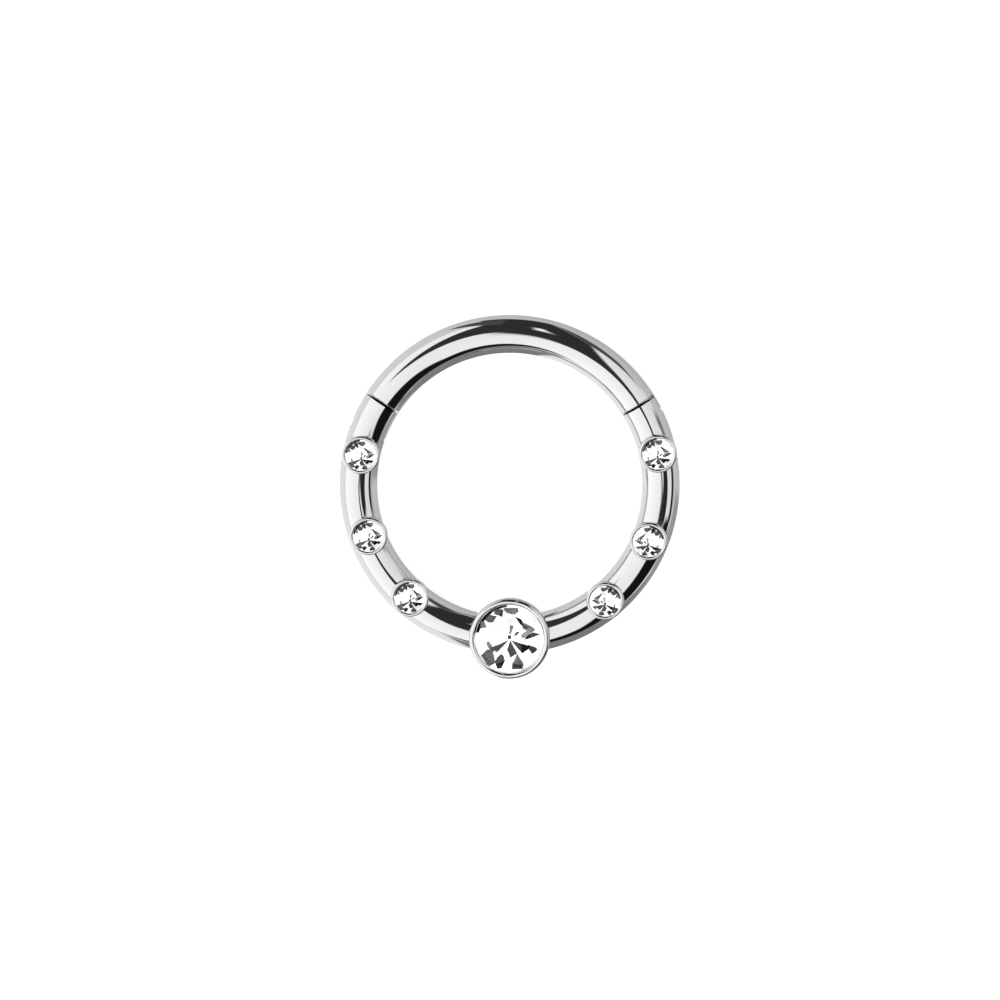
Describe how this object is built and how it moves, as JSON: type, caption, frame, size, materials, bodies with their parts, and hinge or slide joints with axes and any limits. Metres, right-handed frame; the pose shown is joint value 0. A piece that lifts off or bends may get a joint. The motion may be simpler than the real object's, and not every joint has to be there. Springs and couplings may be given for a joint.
{
  "type": "clicker ring",
  "caption": "Hinged segment ring for a piercing, in polished steel, with bezel-set clear round stones on its lower arc and a smooth upper segment that swings open and clicks shut.",
  "frame": {"origin": "centre of the ring, level with the flat backs of the bezel cups that it lies on", "axes": "+Z out of the jewelled face, along the ring's own axis; +Y towards the middle of the smooth segment; the large stone is at -Y and the hinge at -X"},
  "size_m": [0.0108, 0.0115, 0.0018],
  "materials": {
    "polished_steel": "mirror polished surgical steel",
    "pin_steel": "drawn steel pin, ends ground flush",
    "crystal": "clear faceted crystal, foiled back"
  },
  "bodies": {
    "ring": {"ring_body": "polished_steel", "hinge_pin": "pin_steel", "centre_stone": "crystal", "right_top_stone": "crystal", "right_mid_stone": "crystal", "right_low_stone": "crystal", "left_low_stone": "crystal", "left_mid_stone": "crystal", "left_top_stone": "crystal"},
    "arc": {"segment": "polished_steel"}
  },
  "joints": [
    {"name": "segment_hinge", "type": "hinge", "parent": "ring", "child": "arc", "pos_m": [-0.00462, 0.00212, 0.00063], "axis": [0, 0, 1], "range_deg": [0, 100]}
  ]
}
